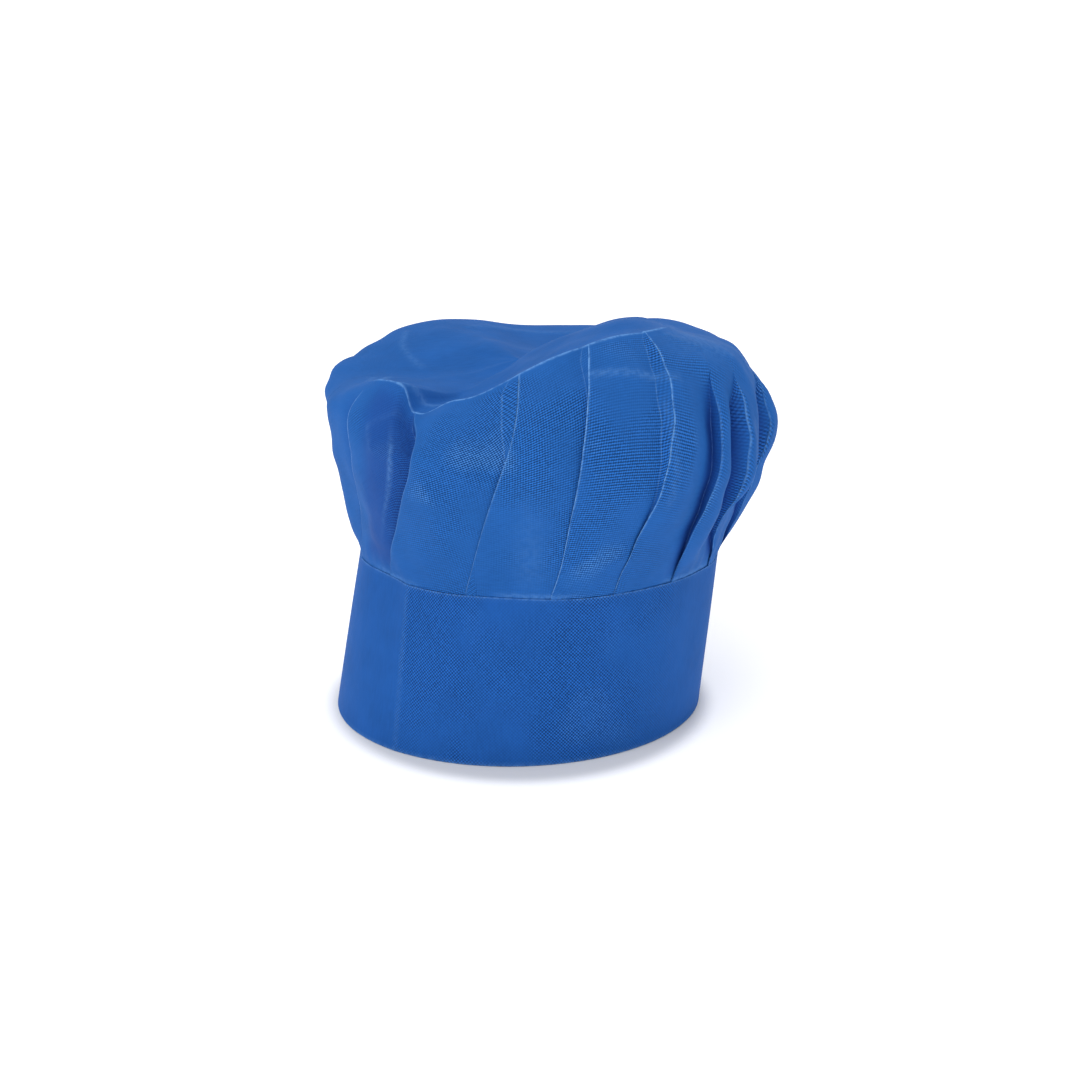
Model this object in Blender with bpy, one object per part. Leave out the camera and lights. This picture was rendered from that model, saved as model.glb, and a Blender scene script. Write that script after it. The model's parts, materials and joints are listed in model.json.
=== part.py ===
"""Chef toque: a one-piece pleated crown sewn into a folded headband with a hook-and-loop closure.

Metres, +Z up, the front faces -Y and the closure is at the back. Azimuths are in degrees around the
headband's upright axis: 0 is the front, 90 is +X, 180 is the back and 270 is -X.
The hat stands on the folded lower edge of its headband, at Z = 0.
"""

import math

import bmesh
import bpy
from mathutils import Vector

# Where the headband's axis stands, so that the origin is the middle of the hat's footprint box
AXIS_X = -0.0157
AXIS_Y = 0.0001

# Headband: one strip folded double at its lower edge
BAND_HEIGHT = 0.082
BAND_RADIUS = 0.0925  # outer radius at the lower edge
BAND_TAPER = 0.0030  # how much smaller the upper edge's radius is
BAND_LEAN = 0.0098  # the upper edge leans this far towards +X
BAND_OVAL = 0.0025  # the strip bulges this far along the crease it was packed on
CREASE_AZIMUTH = -45
PLY = 0.0006
PLY_GAP = 0.0004
FOLDED = 2 * PLY + PLY_GAP
PRESSED_CORNER = 0.0003
GAP = 0.0003  # clearance between neighbouring pieces

# Closure at the back: the outer end of the strip laps over the under end
UNDER_END = 160
TAB_TIP = 200
OUTER_END_START = 136
STEP_OUT = 8  # degrees in which the outer end steps out over the under end
TAPE = 0.0008
TAPE_WIDTH = 0.020
TAPE_MIDDLE = 0.045  # height of the tapes' centre line
HOOK_TAPE_ENDS = (168, 194)
LOOP_TAPE_ENDS = (164, 214)
TAB_OFFSET = GAP + TAPE + GAP + TAPE + GAP  # inner face of the tab above the band's outer face
TAB_CLEARANCE = 0.2  # degrees between the tab and the end that carries it

# Stitching
THREAD = 0.00035  # radius
STITCH_INSET = 0.0016  # from a tape's edge to its stitch line
END_STITCH_AZIMUTH = 3  # degrees from the band's ends to their closing stitches

# Crown: one piece of cloth, laid in knife pleats where it meets the band
CROWN_PLY = 0.0007
PLEAT_RISE = 0.0022
PLEAT_EDGE = 1.0  # degrees over which a pleat steps down onto its neighbour
PLEAT_TWIST = 9  # degrees that the pleats turn towards +X on the way up
PLEAT_AZIMUTHS = (3, 22, 43, 60, 78, 98, 120, 142, 165, 187, 210, 234, 257, 279, 308, 338)
PLEAT_SAMPLES = (0.0, 0.35, 0.7)

# The crown's rings, bottom to top: radius and height in mm at every 30 degrees of azimuth
LOWER_RING = [
    (100, 104), (106, 104), (109, 104), (110, 104), (109, 104), (105, 104),
    (100, 104), (94, 104), (88, 104), (85, 104), (88, 104), (94, 104),
]
BULGE_RING = [
    (112, 143), (120, 143), (125, 143), (126, 143), (125, 143), (120, 143),
    (112, 143), (104, 143), (97, 144), (94, 145), (97, 143), (104, 143),
]
SHOULDER_RING = [
    (104, 172), (110, 177), (113, 177), (113, 174), (113, 170), (111, 168),
    (106, 168), (98, 170), (93, 168), (92, 163), (94, 158), (98, 163),
]
RIM_RING = [
    (78, 191), (83, 198), (84, 197), (84, 193), (88, 186), (92, 180),
    (90, 180), (85, 184), (79, 179), (79, 168), (77, 163), (77, 173),
]
SADDLE_RING = [
    (40, 182), (46, 197), (48, 199), (48, 192), (48, 183), (48, 178),
    (45, 178), (42, 179), (39, 176), (38, 171), (36, 168), (37, 172),
]
TOP_MIDDLE = 0.176
RING_STEPS = 3  # rows between two of the rings above
POLE_RADIUS = 0.004

NAVY_BLUE = (0.014, 0.085, 0.40)
BAND_BLUE = (0.017, 0.095, 0.42)
TAPE_BLUE = (0.010, 0.060, 0.30)
THREAD_BLUE = (0.020, 0.110, 0.45)


def clear_scene():
    for item in list(bpy.data.objects):
        bpy.data.objects.remove(item)


def cloth_material(name, colour, roughness):
    material = bpy.data.materials.new(name)
    material.use_nodes = True
    shader = material.node_tree.nodes["Principled BSDF"]
    shader.inputs["Base Color"].default_value = (*colour, 1)
    shader.inputs["Roughness"].default_value = roughness
    shader.inputs["Metallic"].default_value = 0
    return material


def smooth(t):
    t = min(max(t, 0.0), 1.0)
    return t * t * (3 - 2 * t)


def signed(azimuth):
    """The same azimuth between -180 and 180."""
    return (azimuth + 180) % 360 - 180


def front_only(azimuth):
    """1 over the front and sides, falling to 0 before the closure, which must stay truly round."""
    return 1 - smooth((abs(signed(azimuth)) - 96) / 38)


def place(azimuth, radius, height):
    turn = math.radians(azimuth)
    return Vector((AXIS_X + radius * math.sin(turn), AXIS_Y - radius * math.cos(turn), height))


def band_radius(azimuth, height):
    """Radius of the headband's outer face."""
    share = height / BAND_HEIGHT
    turn = math.radians(azimuth)
    oval = BAND_OVAL * math.cos(2 * math.radians(azimuth - CREASE_AZIMUTH))
    lean = BAND_LEAN * share * math.sin(turn)
    return BAND_RADIUS - BAND_TAPER * share + (oval * (1 - share) + lean) * front_only(azimuth)


def on_band(azimuth, height, offset):
    """A point at this distance outside the headband's outer face."""
    return place(azimuth, band_radius(azimuth, height) + offset, height)


def steps(first, last, size):
    """Evenly spaced values from first to last, about this far apart."""
    count = max(1, round(abs(last - first) / size))
    return [first + (last - first) * i / count for i in range(count + 1)]


def loft(name, loops, material, closed=False):
    """A solid skinned over closed loops of equal length. An open row of loops is capped at both ends."""
    mesh = bmesh.new()
    rows = [[mesh.verts.new(point) for point in loop] for loop in loops]
    pairs = list(zip(rows, rows[1:] + rows[:1])) if closed else list(zip(rows, rows[1:]))
    for near, far in pairs:
        for i in range(len(near)):
            j = (i + 1) % len(near)
            mesh.faces.new((near[i], near[j], far[j], far[i]))
    if not closed:
        mesh.faces.new(rows[0])
        mesh.faces.new(rows[-1])
    bmesh.ops.recalc_face_normals(mesh, faces=mesh.faces)
    data = bpy.data.meshes.new(name)
    mesh.to_mesh(data)
    mesh.free()
    data.materials.append(material)
    data.shade_smooth()
    data.set_sharp_from_angle(angle=math.radians(40))
    item = bpy.data.objects.new(name, data)
    bpy.context.scene.collection.objects.link(item)
    return item


def folded_section(height, offset):
    """Section of a strip folded double at its lower edge, as (offset, height) pairs: a narrow U."""
    inner = offset - FOLDED
    return [
        (offset, height),
        (offset, PRESSED_CORNER),
        (offset - PRESSED_CORNER, 0),
        (inner + PRESSED_CORNER, 0),
        (inner, PRESSED_CORNER),
        (inner, height),
        (inner + PLY, height),
        (inner + PLY, FOLDED),
        (offset - PLY, FOLDED),
        (offset - PLY, height),
    ]


def folded_strip(name, first, last, lift, material):
    """A stretch of the folded headband. lift gives its distance outside the band's face at an azimuth."""
    loops = []
    for azimuth in steps(first, last, 5 if last - first > 60 else 2):
        section = folded_section(BAND_HEIGHT, lift(azimuth))
        loops.append([on_band(azimuth, height, offset) for offset, height in section])
    return loft(name, loops, material)


def headband(material):
    """The strip from its under end, round the left, front and right, to where the outer end starts."""
    clearance = math.degrees(GAP / BAND_RADIUS)
    end = 360 + OUTER_END_START - clearance
    return folded_strip("headband", UNDER_END, end, lambda azimuth: 0.0, material)


def headband_outer_end(material):
    """The stretch that slides over the under end when the hat is made smaller."""
    rise = TAB_OFFSET + FOLDED

    def lift(azimuth):
        return rise * smooth((azimuth - OUTER_END_START) / STEP_OUT)

    return folded_strip("headband_outer_end", OUTER_END_START, UNDER_END, lift, material)


def closure_tab(material):
    """The free end of the strip, which peels open."""
    first = UNDER_END + TAB_CLEARANCE
    return folded_strip("closure_tab", first, TAB_TIP, lambda azimuth: TAB_OFFSET + FOLDED, material)


def tape(name, ends, offset, material):
    """A strip of fastening tape that follows the band. offset is its inner face's."""
    low = TAPE_MIDDLE - TAPE_WIDTH / 2
    high = TAPE_MIDDLE + TAPE_WIDTH / 2
    section = [(offset, low), (offset + TAPE, low), (offset + TAPE, high), (offset, high)]
    loops = [[on_band(a, height, out) for out, height in section] for a in steps(*ends, 2)]
    return loft(name, loops, material)


def thread_along(name, points, material, closed):
    """A round thread through points, each given with the two directions across it."""
    loops = []
    for point, side, out in points:
        loops.append([
            point + (side * math.cos(math.radians(turn)) + out * math.sin(math.radians(turn))) * THREAD
            for turn in range(0, 360, 60)
        ])
    return loft(name, loops, material, closed)


def outward(azimuth):
    turn = math.radians(azimuth)
    return Vector((math.sin(turn), -math.cos(turn), 0))


def sideways(azimuth):
    turn = math.radians(azimuth)
    return Vector((math.cos(turn), math.sin(turn), 0))


def tape_stitching(name, ends, offset, material):
    """The rectangle of thread that holds a tape, at this distance outside the band's face."""
    inset = math.degrees(STITCH_INSET / BAND_RADIUS)
    left, right = ends[0] + inset, ends[1] - inset
    low = TAPE_MIDDLE - TAPE_WIDTH / 2 + STITCH_INSET
    high = TAPE_MIDDLE + TAPE_WIDTH / 2 - STITCH_INSET
    up = Vector((0, 0, 1))
    corner = 0.7071
    path = []
    runs = steps(left, right, 2)
    for azimuth in runs[1:-1]:
        path.append((on_band(azimuth, low, offset), up, outward(azimuth)))
    path.append((on_band(right, low, offset), (up - sideways(right)) * corner, outward(right)))
    path.append((on_band(right, high, offset), (-up - sideways(right)) * corner, outward(right)))
    for azimuth in reversed(runs[1:-1]):
        path.append((on_band(azimuth, high, offset), -up, outward(azimuth)))
    path.append((on_band(left, high, offset), (-up + sideways(left)) * corner, outward(left)))
    path.append((on_band(left, low, offset), (up + sideways(left)) * corner, outward(left)))
    return thread_along(name, path, material, closed=True)


def end_stitching(name, azimuth, offset, material):
    """The upright line of thread that closes one end of the folded strip."""
    path = []
    for height in steps(0.004, BAND_HEIGHT - 0.004, 0.02):
        path.append((on_band(azimuth, height, offset), sideways(azimuth), outward(azimuth)))
    return thread_along(name, path, material, closed=False)


def crown_seam_stitching(material):
    """The overlocked seam that joins the crown to the band, just inside the band's upper edge."""
    offset = -FOLDED - GAP - THREAD
    path = []
    for azimuth in steps(UNDER_END + 2, 358 + OUTER_END_START, 6):
        path.append((on_band(azimuth, BAND_HEIGHT - 0.003, offset), Vector((0, 0, 1)), outward(azimuth)))
    return thread_along("crown_seam_stitching", path, material, closed=False)


def ring_at(ring, azimuth):
    """(radius, height) in metres on one of the crown's rings, by a smooth curve through its stations."""
    spot = (azimuth % 360) / 30
    k = int(spot)
    t = spot - k
    a, b, c, d = (Vector(ring[(k + i) % 12]) for i in (-1, 0, 1, 2))
    point = 2 * b + (c - a) * t + (2 * a - 5 * b + 4 * c - d) * t**2 + (3 * b - 3 * c + d - a) * t**3
    return point / 2000


def spline(points, count):
    """Catmull-Rom curve through 2D points, with this many pieces between each pair."""
    ends = [2 * points[0] - points[1], *points, 2 * points[-1] - points[-2]]
    curve = []
    for a, b, c, d in zip(ends, ends[1:], ends[2:], ends[3:]):
        for i in range(count):
            t = i / count
            point = 2 * b + (c - a) * t + (2 * a - 5 * b + 4 * c - d) * t**2 + (3 * b - 3 * c + d - a) * t**3
            curve.append(point / 2)
    return curve + [points[-1]]


def crown_profile(azimuth):
    """Outer (radius, height) points from the band seam up the side, over the rim and in to the top."""
    seam = Vector((band_radius(azimuth, BAND_HEIGHT) - FOLDED / 2, BAND_HEIGHT + GAP))
    side = [seam] + [ring_at(ring, azimuth) for ring in (LOWER_RING, BULGE_RING, SHOULDER_RING, RIM_RING)]
    top = [ring_at(RIM_RING, azimuth), ring_at(SADDLE_RING, azimuth), Vector((POLE_RADIUS, TOP_MIDDLE))]
    return spline(side, RING_STEPS)[:-1] + spline(top, RING_STEPS)


def profile_normals(profile):
    """Outward unit normals of a profile."""
    normals = []
    for i in range(len(profile)):
        along = profile[min(i + 1, len(profile) - 1)] - profile[max(i - 1, 0)]
        normals.append(Vector((along.y, -along.x)).normalized())
    return normals


def pleat_edges():
    """For each sample round the crown, its azimuth at the seam and its height on the pleat, 1 to 0."""
    samples = []
    for i, start in enumerate(PLEAT_AZIMUTHS):
        last = i == len(PLEAT_AZIMUTHS) - 1
        width = PLEAT_AZIMUTHS[(i + 1) % len(PLEAT_AZIMUTHS)] + (360 if last else 0) - start
        for share in PLEAT_SAMPLES:
            samples.append((start + share * (width - PLEAT_EDGE), 1 - share))
        samples.append((start + width - PLEAT_EDGE, 0.0))
    return samples


def crown(material):
    """One piece of cloth: knife pleats rise from the band, swell out and fade over a dipped top."""
    side_rows = 4 * RING_STEPS
    outer, inner = [], []
    for seam_azimuth, pleat in pleat_edges():
        column = crown_profile(seam_azimuth)
        outer_column, inner_column = [], []
        for row in range(len(column)):
            climb = min(row / side_rows, 1)
            azimuth = seam_azimuth + PLEAT_TWIST * smooth(climb)
            profile = crown_profile(azimuth)
            normal = profile_normals(profile)[row]
            fade = smooth(climb * 4) * (1 - smooth((row - side_rows + RING_STEPS) / (2 * RING_STEPS)))
            radius, height = profile[row] + normal * (PLEAT_RISE * fade * pleat)
            outer_column.append(place(azimuth, radius, height))
            back = normal if row else Vector((1, 0))
            radius -= back.x * CROWN_PLY
            height -= back.y * CROWN_PLY
            inner_column.append(place(azimuth, radius, height))
        outer.append(outer_column)
        inner.append(inner_column)
    outer_rings = [list(ring) for ring in zip(*outer)]
    inner_rings = [list(ring) for ring in zip(*inner)]
    return loft("crown", inner_rings[::-1] + outer_rings, material)


def main():
    clear_scene()
    band_cloth = cloth_material("band_cloth", BAND_BLUE, 0.62)
    crown_cloth = cloth_material("crown_cloth", NAVY_BLUE, 0.62)
    tape_weave = cloth_material("fastening_tape", TAPE_BLUE, 0.85)
    thread = cloth_material("thread", THREAD_BLUE, 0.5)

    headband(band_cloth)
    headband_outer_end(band_cloth)
    closure_tab(band_cloth)
    crown(crown_cloth)

    tape("loop_tape", LOOP_TAPE_ENDS, GAP, tape_weave)
    tape("hook_tape", HOOK_TAPE_ENDS, GAP + TAPE + GAP, tape_weave)

    inside_band = -FOLDED - GAP - THREAD
    outside_tab = TAB_OFFSET + FOLDED + GAP + THREAD
    tape_stitching("loop_tape_stitching", LOOP_TAPE_ENDS, inside_band, thread)
    tape_stitching("hook_tape_stitching", HOOK_TAPE_ENDS, outside_tab, thread)
    end_stitching("band_end_stitching", UNDER_END + END_STITCH_AZIMUTH, inside_band, thread)
    end_stitching("tab_end_stitching", TAB_TIP - END_STITCH_AZIMUTH, outside_tab, thread)
    crown_seam_stitching(thread)


main()
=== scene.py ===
"""Looks for the chef toque: pleated non-woven crown, folded headband and hook-and-loop closure.

Everything is in metres in the CAD's own frame: +Z up, the front faces -Y, the closure is at +Y.
Azimuths are in degrees round the headband's upright axis: 0 is the front and 90 is +X.
"""

import json
import math

import bmesh
import bpy
import numpy as np
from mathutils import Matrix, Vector


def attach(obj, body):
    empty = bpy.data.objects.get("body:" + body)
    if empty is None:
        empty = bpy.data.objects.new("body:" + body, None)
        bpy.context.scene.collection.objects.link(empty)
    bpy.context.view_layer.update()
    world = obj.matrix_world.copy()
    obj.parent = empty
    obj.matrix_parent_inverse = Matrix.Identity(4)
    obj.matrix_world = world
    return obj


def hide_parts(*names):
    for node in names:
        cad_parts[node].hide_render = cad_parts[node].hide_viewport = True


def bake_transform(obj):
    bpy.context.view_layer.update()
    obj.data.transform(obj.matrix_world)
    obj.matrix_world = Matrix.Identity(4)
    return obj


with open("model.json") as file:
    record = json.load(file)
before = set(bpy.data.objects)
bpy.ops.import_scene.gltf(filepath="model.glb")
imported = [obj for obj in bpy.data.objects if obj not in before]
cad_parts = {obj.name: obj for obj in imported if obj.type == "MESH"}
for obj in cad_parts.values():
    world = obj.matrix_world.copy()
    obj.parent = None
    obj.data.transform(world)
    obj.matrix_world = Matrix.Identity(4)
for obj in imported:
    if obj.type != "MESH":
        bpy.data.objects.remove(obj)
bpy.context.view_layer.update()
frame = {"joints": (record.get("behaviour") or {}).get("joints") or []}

# ---------------------------------------------------------------- dimensions

joints = {joint["name"]: joint for joint in frame["joints"]}
AXIS = np.array(joints["closure_adjust"]["pos_m"][:2])
BAND_HEIGHT = joints["crown_collapse"]["deforming_nodes"][0]["fixed_end_z_m"]

# Headband: one strip folded double at its lower edge
BAND_RADIUS = 0.0925  # outside, at the lower edge
BAND_TAPER = 0.0030  # how much smaller the upper edge's radius is
BAND_LEAN = 0.0098  # the upper edge leans this far towards +X
BAND_OVAL = 0.0025  # the strip bulges this far along the crease it was packed on
CREASE_AZIMUTH = -45
FOLDED = 0.0016  # thickness of the folded strip
CLOTH = 0.0003
END_STEP = 0.06  # degrees from a strip's end to its next column, which keeps the end crisp
HANDLED_REACH = 96  # the soft dents of handling reach this far round from the front
HANDLED_FADE = 38
# Creases down the band: azimuth, how far it drifts on the way up, width in degrees, height in mm
BAND_CREASES = [
    (-39, 0, 3.2, 1.0),
    (-51, 0, 10, -0.9),
    (-28, 0, 8, -0.5),
    (76, -3, 6, 0.6),
    (62, 0, 9, -0.5),
]
# Waves round the band: number, phase, how far the phase shifts on the way up, height in mm
BAND_WAVES = [(5, 1.0, 0, 0.5), (9, 2.0, -2, 0.4)]
# Waves of its upper edge, which is cut and sewn by hand: number, phase, height in mm
EDGE_WAVES = [(3, 0.6, 0.6), (7, 1.9, 0.4)]

# Closure at the back: the outer end of the strip laps over the under end
UNDER_END = 160
TAB_TIP = 200
BACK_START = 95  # the rear piece of the strip starts here
BACK_END = 156  # and the free tab starts here
OUTER_END_START = 136
STEP_OUT = 8  # degrees in which the outer end steps out over the under end
TAB_BEND = (158.6, 161.6)  # points on the tab at these azimuths are worked out but not used
BLEND_HEIGHT = 0.040  # about halfway up the band: the height of points that are worked out but not used
GAP = 0.0003
TAPE = 0.0008
TAB_OFFSET = 3 * GAP + 2 * TAPE  # inner face of the tab above the band's outer face
TAPE_MIDDLE = 0.045
TAPE_WIDTH = 0.020
TAPE_BACKING = 0.0004
LOOP_TAPE_OFFSET = 0.0005  # middle of its backing above the band's outer face
HOOK_TAPE_OFFSET = 2 * GAP + 2 * TAPE
LOOP_ENDS = (164, 214)
HOOK_ENDS = (168, 194)
LOOP_PITCH = 0.0016
HOOK_PITCH = 0.0015
LOOP_FILAMENT = 0.00007  # radii of the filaments
HOOK_FILAMENT = 0.00009

# Stitching
STITCH = 0.0026
STITCH_GAP = 0.0007
STITCH_SINK = 0.0005  # how far a stitch's ends dip under the line it follows
STITCH_INSET = 0.0016  # from a tape's edge to its stitches
END_INSET = 3  # degrees from the ends of the strip to their stitches
END_HEIGHTS = np.arange(0.004, 0.078, 0.001)
THREAD = 0.0002
SEAM_THREAD = 0.00018
SEAM_DROP = 0.0045  # lower side of the crown's zigzag seam under the band's upper edge
SEAM_ZIGZAG = 0.0028
SEAM_STEP = 1.3  # degrees

# Crown. Places on it are an azimuth and v, which is 0 at the seam, 1 to 5 on the five rings and 6 in the
# middle of its top
SEAM_V = 0
LOWER_V = 1
RIM_V = 4
POLE_V = 6
# Rings, bottom to top: radius and height in mm at even steps of azimuth from 0
LOWER_RING = [
    (100, 104), (105, 104), (107, 104), (107, 104), (107, 104), (104, 104),
    (100, 104), (94, 104), (87, 104), (83, 104), (86, 104), (92, 104),
]
BULGE_RING = [
    (112, 143), (118, 143), (121, 143), (121.5, 143), (121, 143), (118, 143),
    (112, 143), (103, 143), (95, 144), (91.5, 145), (93, 143), (102, 143),
]
SHOULDER_RING = [
    (104, 168), (105, 182), (107, 184), (111, 179), (110, 174), (109, 170),
    (106, 168), (98, 170), (94, 168), (94.5, 161), (93, 161), (97, 156),
]
RIM_RING = [
    (88, 188), (87, 197.5), (86, 202), (85, 202), (81, 200), (79, 195), (80, 190), (83, 188),
    (86, 188), (88, 184.5), (90, 178), (90, 176), (89, 176), (87, 180), (85, 182), (83, 181),
    (80, 177), (79, 172), (78, 168), (79, 169), (81, 174), (82, 178), (84, 173), (87, 176),
]
SADDLE_RING = [
    (46, 180), (46, 185), (46, 191), (48, 196), (50, 200), (50, 199), (48, 194), (48, 187),
    (48, 181), (48, 176), (48, 173), (46, 173), (45, 175), (43, 178), (42, 180), (40, 179),
    (39, 176), (38, 174), (38, 171), (37, 170), (36, 168), (37, 167), (42, 168), (46, 172),
]
TOP_MIDDLE = 0.177
SEAM_DEPTH = 0.0005  # the crown's seam allowance lies this far behind the band's outer face
SEAM_ALLOWANCE = 0.024  # metres of it per unit of v
# The rim is a pressed ridge at the front. It drops steeply at the top of a pleat, then climbs back. All
# but the drop's depth are in degrees
RIDGE_MIDDLE = 2
RIDGE_REACH = 48
RIDGE_FADE = 35
NOTCH_START = -40
NOTCH_DEPTH = 0.009
NOTCH_DROP = 3.5
NOTCH_BOTTOM = 5
NOTCH_CLIMB = 16

# Knife pleats. Each row: the fold's azimuth at the seam, lower, bulge, shoulder and rim rings, then
# how far in mm the cloth is tucked under the fold at those rings (negative: the pleat stands open),
# how deep the pleat is (1 lies almost flat), the v at which it ends, and the share of the panel to its
# right that stays level before it bends down under the next fold
PLEATS = [
    ((-75, -65, -56, -57, -58), (4, 3, -4, -4, 0), 1.7, 3.7, 0.72),
    ((-50, -40, -28, -28, -35), (5, 4, 2, -3, -3), 3.0, 4.2, 0.15),
    ((-17, -12, -5, -1, 0), (6, 5, 3, -6, -8), 1.0, 4.3, 0.15),
    ((9, 11, 13, 16.5, 21), (6, 6, 4, 1, -5), 0.9, 4.3, 0.15),
    ((28, 28.5, 33, 40, 42), (6, 5, -1, -7, -3), 1.1, 4.3, 0.3),
    ((48, 46, 49, 55, 62), (5, 4, 3, 2, 2), 3.0, 3.0, 0.2),
    ((69, 63, 59, 65, 72), (4, 0, -3, -4, 0), 3.6, 2.9, 0.2),
    ((82, 76, 75, 80, 88), (4, 0, -3, -3, 0), 3.4, 2.8, 0.2),
    ((99, 97, 97, 99, 104), (5, 2, -2, -4, -2), 2.6, 2.9, 0.2),
    ((120, 122, 124, 125, 127), (6, 4, 1, -4, -5), 1.8, 3.2, 0.2),
    ((142, 145, 149, 150, 150), (6, 5, 3, -3, -5), 1.4, 3.4, 0.15),
    ((165, 169, 173, 174, 173), (6, 5, 3, -2, -5), 1.3, 3.2, 0.15),
    ((187, 191, 196, 198, 197), (6, 5, 2, -4, -4), 1.5, 3.4, 0.15),
    ((210, 215, 220, 223, 224), (6, 5, 3, -3, -5), 1.4, 3.5, 0.15),
    ((234, 240, 246, 249, 251), (6, 5, 2, -4, -4), 1.6, 3.6, 0.15),
    ((262, 270, 278, 280, 277), (6, 4, 1, -1, 0), 0.9, 2.5, 0.15),
]
RISE = (0.05, 0.5, 1.1, 1.3, 0.6)  # mm that a fold stands over the crown's surface at those rings
DIP = (0.05, 0.6, 1.5, 1.7, 0.5)  # mm that the valley beside it lies under the surface
PLEAT_FADE = 0.6  # of v, in which a pleat runs out
FOLD_OUT = 0.004  # folded cloth stands about this far outside the rings
BELLY = 0.0010  # a panel bulges this far between its folds
OPEN_DEPTH = 1.2  # pleats deeper than this get painted shade
TURNED_WIDTH = 0.004  # of the cloth that turns back under a fold, on the flat sheet
FOLD_LINE = 0.00045  # half widths of the pale lines on folds, in valleys and on bent panels: fibre whitening with a painted highlight
VALLEY_LINE = 0.0004
BEND_LINE = 0.0009
PANEL_TURN = 13  # degrees that the embossed lattice turns from one panel of the round sheet to the next
LEVEL_PANEL = 2.8  # between these two panels the lattice stands level
# Places of the mesh's columns across a panel, from its fold to the next valley, dense at both
ACROSS = np.array([0, 0.008, 0.02, 0.04, 0.07, 0.11, *np.linspace(0.16, 0.86, 15), 0.91, 0.95, 0.98, 1.0])
TURNED_BACK = np.array([0.06, 0.2, 0.5, 0.8, 0.94])  # and across the strip under the next fold
# Places of its rows: first and last v of each stretch, and how many
ROWS = [
    (-0.28, -0.04, 4), (0, 0.3, 8), (0.3, 3.6, 47), (3.6, 3.92, 10),
    (3.92, 4.08, 13), (4.08, 4.5, 12), (4.5, 5.97, 24),
]
WELD_DISTANCE = 0.000001

# Pressed creases: (azimuth, v) at both ends, how white they are and how high in mm they stand
PRESSED = [
    ((19, 3.45), (37, 3.1), 0.2, 0.7),
    ((37, 3.1), (43, 3.0), 0.15, 0.5),
    ((37, 2.75), (35, 1.7), 0.1, 0.35),
    ((50, 3.85), (58, 3.42), 0.15, 0.7),
    ((58, 3.42), (68, 3.1), 0.15, 0.8),
    ((-52, 4.05), (-80, 4.4), 0.2, 0.8),
    ((-62, 4.02), (-84, 4.2), 0.15, 0.3),
    ((-43, 4.05), (-30, 4.45), 0.2, 0.8),
    ((-38, 3.6), (-47, 3.0), 0.05, -0.4),
    ((-47, 3.0), (-43, 2.2), 0.1, 0.4),
    ((150, 4.3), (205, 4.6), 0.1, 0.7),
    ((230, 4.2), (262, 4.7), 0.12, 0.7),
    ((92, 4.1), (128, 4.5), 0.1, 0.7),
    ((184, 2.9), (176, 1.9), 0.1, 0.4),
    ((232, 2.2), (226, 1.2), 0.1, 0.4),
]
PRESSED_GIRTH = 0.095  # their rough scale on the crown: its radius, and metres per unit of v
PRESSED_STEP = 0.030
PRESSED_WHITE = 0.0015  # half widths of the whitening and of the raised line
PRESSED_WIDTH = 0.0028
PRESSED_END = 0.006

# Colours, linear
BAND_BLUE = (0.0115, 0.082, 0.318)
CROWN_BLUE = (0.0148, 0.097, 0.345)
TAPE_BLUE = (0.012, 0.060, 0.26)
THREAD_BLUE = (0.030, 0.140, 0.47)
SHEEN_PATCH_BLUE = (0.12, 0.33, 0.72, 1)  # painted sheen: patches of the lattice painted lighter as if they caught the light
GRAZING_SHEEN_BLUE = (0.02, 0.140, 0.46, 1)  # painted sheen on cloth seen along its surface
SHADE_BLUE = (0.010, 0.038, 0.235, 1)  # painted shade deep inside a pleat and on the first panel, which faces away from the light
WHITENING_AND_HIGHLIGHT_BLUE = (0.19, 0.43, 0.84, 1)  # whitening of folded fibres, plus painted highlights on folds, the ridge, the right shoulder and down the front
EMBOSS_PITCH = 0.0012

# Studio
BACKDROP = 1.1  # strength of the white world as the camera sees it
AMBIENT = 0.76  # and as a light
SUNS = [  # name, direction it shines from, strength, spread in degrees
    ("key", (-0.55, -0.9, 1.1), 1.05, 50),
    ("top", (0.15, 0.45, 1.0), 0.45, 60),
]
FLOOR_SIZE = 60
FLOOR_WHITE = 0.94
FLOOR_LIGHT = 0.28  # it glows this much, except close to the hat, where the missing glow is part of a painted contact shadow
SHADOW_WHITE = 0.72  # the floor's colour right at the hat: a painted contact shadow
SHADOW_RADII = (0.088, 0.100)  # the painted shadow lightens to FLOOR_WHITE between these
LIGHT_RADII = (0.090, 0.103)  # and its own light from nothing to FLOOR_LIGHT between these
SHADOW_REACH = 0.87  # below 1, the painted shadow reaches further to the front than to the sides
GLOW = 1.4  # strength of the light inside the hat
GLOW_RADII = (0.078, 0.086)
CAMERA_DOWN = math.radians(16.1)
CAMERA_DISTANCE = 1.0
CAMERA_AIM = 0.10  # height of the point it turns about
CAMERA_LENS = 66.5
CAMERA_SHIFT = (0.0194444, -0.0291667)  # as shares of the picture's width

rng = np.random.default_rng(7)


# ---------------------------------------------------------------- curves and surfaces


def smooth(t):
    t = np.clip(t, 0, 1)
    return t * t * (3 - 2 * t)


def gauss(x, width):
    return np.exp(-((x / width) ** 2))


def signed(azimuth):
    return (azimuth + 180) % 360 - 180


def spline(a, b, c, d, t):
    """Catmull-Rom piece between b and c."""
    return (2 * b + (c - a) * t + (2 * a - 5 * b + 4 * c - d) * t**2 + (3 * b - 3 * c + d - a) * t**3) / 2


def along(values, v):
    """A smooth curve through values at v = 0, 1, 2 ..., held level outside them."""
    p = np.array([2 * values[0] - values[1], *values, 2 * values[-1] - values[-2]], float)
    v = np.clip(v, 0, len(values) - 1)
    k = np.minimum(v.astype(int), len(values) - 2)
    return spline(p[k], p[k + 1], p[k + 2], p[k + 3], v - k)


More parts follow.
